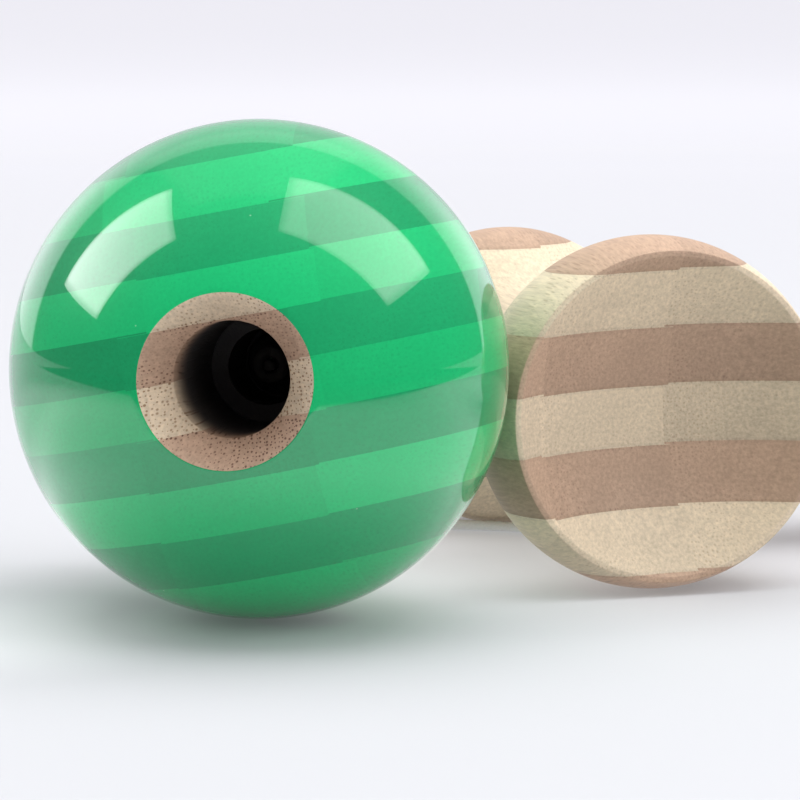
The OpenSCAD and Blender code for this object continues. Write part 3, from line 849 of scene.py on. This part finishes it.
# %% Painted shade on the string's ends inside the ball
# Painted shade: the string's ends in the ball go from white to near black with depth, with a cloud in the
# dark
UNSHADED_NYLON = (0.88, 0.88, 0.87, 1)
STRING_SHADE_DARK, STRING_SHADE_LIGHT = (0.03, 0.026, 0.024, 1), (0.09, 0.08, 0.07, 1)
STRING_SHADE_SCALE = 1.5
STRING_SHADE_FROM_MM, STRING_SHADE_TO_MM = -BALL_R / MM + 1, pocket_floor / MM
dusty, tree, shader = new_material("dusty_nylon")
in_hole = in_wood(tree, "ball")
string_shade = mixed(tree, clouds(tree, in_hole, STRING_SHADE_SCALE, 4.0), STRING_SHADE_DARK, STRING_SHADE_LIGHT)
inside = ramped(tree, parts_of(tree, in_hole)["Y"], STRING_SHADE_FROM_MM, STRING_SHADE_TO_MM)
tree.links.new(mixed(tree, inside, UNSHADED_NYLON, string_shade), shader.inputs["Base Color"])
set_plain(shader, Roughness=0.8)
print("string inside the ball:", dusty.name)

# %% [markdown]
# ## Dress the frame
#
# Each new piece replaces its CAD node and rides on the same body. The string's ends in the ball ride on the
# bead, and those in the ken on the ken. A string that rode on one body would tear off at the other; the long
# string here rides on no body, and the two points between which it would draw out are only printed.

# %% Pieces and bodies


def dress(piece, *materials):
    piece.data.materials.clear()
    for material in materials:
        piece.data.materials.append(material)


dress(ball_shell, lacquer, mouth_wood)
for index in inside_faces:
    ball_shell.data.polygons[index].material_index = 1
dress(cross_piece, cross_wood)
dress(ken_turned, ken_wood)
dress(string_cord, nylon)
# The bead gets the near black of painted shade
dress(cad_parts["bead"], bead_painted_dark)
# The string's ends in the ball get the nylon with painted shade for the deep hole
for node, piece in string_ends.items():
    in_ball = "ball" in node
    dress(piece, dusty if in_ball else nylon)
    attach(piece, "bead" if in_ball else "ken")
    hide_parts(node)
for piece, node, body, slot in ((ball_shell, "ball", "ball", "lacquered_ball"),
                                (cross_piece, "cross_cup", "ken", "laminated_bamboo"),
                                (ken_turned, "ken", "ken", "bamboo")):
    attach(piece, body)
    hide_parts(node)
BEND_FROM, BEND_TO = by_ken_foot([(-37.5, 6.6, 7), (-37.5, 6.6, 27)])
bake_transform(string_cord)
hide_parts("string_ken_run", "string_coil", "string_ball_run")
print("string draws out between", in_mm(BEND_FROM), "and", in_mm(BEND_TO))

# %% [markdown]
# ## The table
#
# The toy lies on a white sheet that is lit far more evenly than lamps alone would light it. A brighter
# lamp would burn out the cups, so the sheet glows a little by itself: more with distance, and in a few
# soft pools, as light that bounces about a white studio does. Two small pools by the toy are painted light
# that lifts the shadows between the ball and the cross piece and beside the ball; the pools farther off
# only light the toy and show in the lacquer. In the lacquer only, the sheet is also painted bright round
# the ball and dark past a circle round the toy and in front: a painted reflection of a dark room, which
# keeps the green deep.

# %% White sheet and its glow
TABLE_SIZE = 16
# The second colour shows only in the lacquer, as a painted dark reflection
PAPER_WHITE, DARK_ROOM_REFLECTION, BLACK = (0.497, 0.5, 0.522, 1), (0.05, 0.05, 0.055, 1), (0.0, 0.0, 0.0, 1)
NEAR_GLOW, FAR_GLOW = (0.075, 0.077, 0.08, 1), (0.632, 0.622, 0.667, 1)
GLOW_FROM, GLOW_TO = 0.08, 1.2
# Each pool: where, full up to and gone from, all in millimetres, its strength, and if the camera sees it
# The first two pools, seen by the camera, are painted light that lifts the shadows of the ball and cross
# piece
POOLS = (((-30, 8), 8, 50, 0.32, True), ((-100, -20), 5, 32, 0.2, True),
         ((-254, 44), 30, 168, 0.9, False), ((220, -70), 30, 190, 0.9, False),
         ((-126, -208), 20, 104, 0.9, False))
bpy.ops.object.select_all(action="DESELECT")
bpy.ops.mesh.primitive_plane_add(size=TABLE_SIZE)
table = bpy.context.object
table.name = "table_top"
paper, tree, shader = new_material("white_sheet")
on_table = add(tree, "ShaderNodeTexCoord").outputs["Object"]
rays = add(tree, "ShaderNodeLightPath").outputs
not_seen = maths(tree, "SUBTRACT", 1.0, rays["Is Camera Ray"])


def away_from(x, y):
    """The distance on the table from a point in millimetres."""
    return vectors(tree, "DISTANCE", on_table, Vector((x, y, 0)) * MM)


def added(glow, share, colour):
    return mixed(tree, 1.0, glow, mixed(tree, share, BLACK, colour), "ADD")


glow = mixed(tree, ramped(tree, away_from(0, 0), GLOW_FROM, GLOW_TO), NEAR_GLOW, FAR_GLOW)
for at, full_to, none_from, strength, seen in POOLS:
    share = ramped(tree, away_from(*at), full_to * MM, none_from * MM, 1.0, 0.0)
    if not seen:
        share = maths(tree, "MULTIPLY", share, not_seen)
    glow = added(glow, share, (strength, strength, strength, 1))
print("pools of light on the sheet:", len(POOLS))

# %% Painted reflections: the sheet as it shows in the lacquer
MIRRORED_GLOW = (0.8, 0.8, 0.82, 1)
FOOT_SHADE, GLOW_FADE, GLOW_FRONT = (0.025, 0.055), (0.12, 0.26, 1.0, 0.2), (-0.06, -0.01)
DARK_REFLECTION_CENTRE_MM, DARK_REFLECTION_EDGE, DARK_REFLECTION_FRONT = (5, 390), (0.58, 0.62), (-0.35, -0.25)
FRONT_WAY = Vector((-0.3089, -0.9511, 0))
from_ball = away_from(ball_centre.x / MM, ball_centre.y / MM)
to_front = vectors(tree, "DOT_PRODUCT", on_table, FRONT_WAY)
to_front = maths(tree, "SUBTRACT", to_front, ball_centre.dot(FRONT_WAY))
# Glossy rays only: painted reflection, the sheet glows brighter round the ball but stays dark at its foot
mirrored = rays["Is Glossy Ray"]
for share in (ramped(tree, from_ball, *FOOT_SHADE), ramped(tree, from_ball, *GLOW_FADE),
              ramped(tree, to_front, *GLOW_FRONT)):
    mirrored = maths(tree, "MULTIPLY", mirrored, share)
glow = added(glow, mirrored, MIRRORED_GLOW)
# Glossy rays only: painted dark reflection past a circle round the toy and towards the front
dark_reflection = rays["Is Glossy Ray"]
for share in (ramped(tree, away_from(*DARK_REFLECTION_CENTRE_MM), *DARK_REFLECTION_EDGE), ramped(tree, to_front, *DARK_REFLECTION_FRONT)):
    dark_reflection = maths(tree, "MULTIPLY", dark_reflection, share)
tree.links.new(mixed(tree, dark_reflection, glow, BLACK), shader.inputs["Emission Color"])
tree.links.new(mixed(tree, dark_reflection, PAPER_WHITE, DARK_ROOM_REFLECTION), shader.inputs["Base Color"])
set_plain(shader, Roughness=0.8, Specular_IOR_Level=0.1, Emission_Strength=1.0)
table.data.materials.append(paper)
print("sheet:", paper.name, "with", len(tree.nodes), "nodes")

# %% [markdown]
# ## The light
#
# The photograph is a product shot: a wide soft light overhead, and a soft box on each side whose shapes
# show in the lacquer. One set of lamps could do both jobs, but then the reflections and the shading could
# not be set apart. So three boxes only show in the gloss, and five fills only light the wood and the
# sheet. Each is placed by the direction in which it shows in the ball.

# %% Soft lights
camera_turn = camera.rotation_euler.to_matrix()
view_right, view_up, view_back = camera_turn.col[0], camera_turn.col[1], camera_turn.col[2]
BOX_RIM = 0.08
LEFT_WAY, RIGHT_WAY, LEVEL = (-0.247, -0.071, 0.967), (0.0, 0.12, -0.99), (1, 0, 0)
# Each light: the way to it, the way of its width, distance, width, height and radiance, and for the boxes
# also the share of light left at the far end and at the edges
SEEN_BOXES = {
    "left_box": ((-0.760, 0.649, 0.005), LEFT_WAY, 0.55, 0.318, 0.42, 9.5, 0.6, 0.5),
    "right_box": ((0.575, 0.806, 0.148), RIGHT_WAY, 0.60, 0.40, 0.60, 4.9, 0.7, 0.5),
    "top_panel": ((-0.046, 0.93, -0.36), LEVEL, 0.75, 0.63, 0.81, 0.25, 1.0, 0.35),
}
FILLS = {
    "left_glow": ((-0.739, 0.655, -0.076), LEFT_WAY, 0.55, 0.6, 0.7, 0.45),
    "right_glow": ((0.575, 0.811, 0.108), RIGHT_WAY, 0.60, 0.7, 0.8, 0.92),
    "top_fill": ((0.08, 0.98, -0.06), LEVEL, 0.8, 0.95, 0.95, 2.95),
    "right_fill": ((0.62, 0.48, 0.62), LEVEL, 0.9, 0.7, 0.7, 1.75),
    "left_fill": ((-0.66, 0.2, 0.72), LEVEL, 0.9, 0.7, 0.7, 0.35),
}


def from_view(v):
    return view_right * v[0] + view_up * v[1] + view_back * v[2]


def soft_box(name, towards, wide_way, distance, wide, tall, radiance, far_end=1.0, edge=1.0):
    """A soft box round the ball, dimmer towards its edges and towards its far end."""
    data = bpy.data.lights.new(name, "AREA")
    data.shape = "RECTANGLE"
    data.size, data.size_y = wide, tall
    data.energy = radiance * math.pi * wide * tall
    data.use_nodes = True
    tree = data.node_tree
    spot = parts_of(tree, add(tree, "ShaderNodeNewGeometry").outputs["Parametric"])
    power = ramped(tree, spot["Y"], 0.0, 1.0, 1.0, far_end)
    for way in ("X", "Y"):
        rim = maths(tree, "MINIMUM", spot[way], maths(tree, "SUBTRACT", 1.0, spot[way]))
        power = maths(tree, "MULTIPLY", power, ramped(tree, rim, 0.0, BOX_RIM, edge, 1.0))
    tree.links.new(power, tree.nodes["Emission"].inputs["Strength"])
    light = bpy.data.objects.new(name, data)
    back = from_view(towards).normalized()
    across = from_view(wide_way)
    across = (across - back * across.dot(back)).normalized()
    turn = Matrix((across, back.cross(across), back)).transposed().to_4x4()
    light.matrix_world = Matrix.Translation(ball_centre + back * distance) @ turn
    bpy.context.scene.collection.objects.link(light)
    return light


for name, values in SEEN_BOXES.items():
    soft_box(name, *values).visible_diffuse = False
for name, values in FILLS.items():
    soft_box(name, *values).visible_glossy = False
print("lights:", ", ".join([*SEEN_BOXES, *FILLS]))

# %% [markdown]
# ## The room
#
# The room shows only in the lacquer and as soft light from all round. A plain white world would wash out
# the green, so the wall behind the toy is bright, the rest of the room is dark, and light that has already
# bounced off the toy or the sheet finds an even grey.

# %% The white room
DARK_SIDE, DARK_TOP = (0.08, 0.08, 0.09, 1), (0.2, 0.2, 0.21, 1)
WALL_LOW, WALL_HIGH, WALL_MIDDLE = (1.7, 1.7, 1.78, 1), (0.4, 0.4, 0.42, 1), (0.72, 0.72, 0.76, 1)
EVEN_GREY, BOUNCED_SHARE = (0.5, 0.5, 0.52, 1), 0.5
WALL_EDGE, TOP_FADE, WALL_FADE, MIDDLE_FADE = (0.57, 0.61), (0.6, 1.0), (0.1, 0.8), (0.12, 0.5)
world = bpy.data.worlds.new("white_room")
world.use_nodes = True
tree = world.node_tree
direction = add(tree, "ShaderNodeTexCoord").outputs["Generated"]
rays = add(tree, "ShaderNodeLightPath").outputs
behind_toy = ramped(tree, vectors(tree, "DOT_PRODUCT", direction, -view_back), *WALL_EDGE)
overhead = parts_of(tree, direction)["Z"]
sides = mixed(tree, ramped(tree, overhead, *TOP_FADE), DARK_SIDE, DARK_TOP)
wall = mixed(tree, ramped(tree, overhead, *WALL_FADE), WALL_LOW, WALL_HIGH)
sideways = maths(tree, "ABSOLUTE", vectors(tree, "DOT_PRODUCT", direction, view_right))
middle = maths(tree, "MULTIPLY", ramped(tree, sideways, *MIDDLE_FADE, 1.0, 0.0), rays["Is Glossy Ray"])
room = mixed(tree, behind_toy, sides, mixed(tree, middle, wall, WALL_MIDDLE))
room = mixed(tree, maths(tree, "MULTIPLY", rays["Is Diffuse Ray"], BOUNCED_SHARE), room, EVEN_GREY)
tree.links.new(room, tree.nodes["Background"].inputs["Color"])
tree.nodes["Background"].inputs["Strength"].default_value = 1.0
bpy.context.scene.world = world
bpy.context.scene.view_settings.view_transform = "Standard"
print("room:", world.name, "with", len(tree.nodes), "nodes")
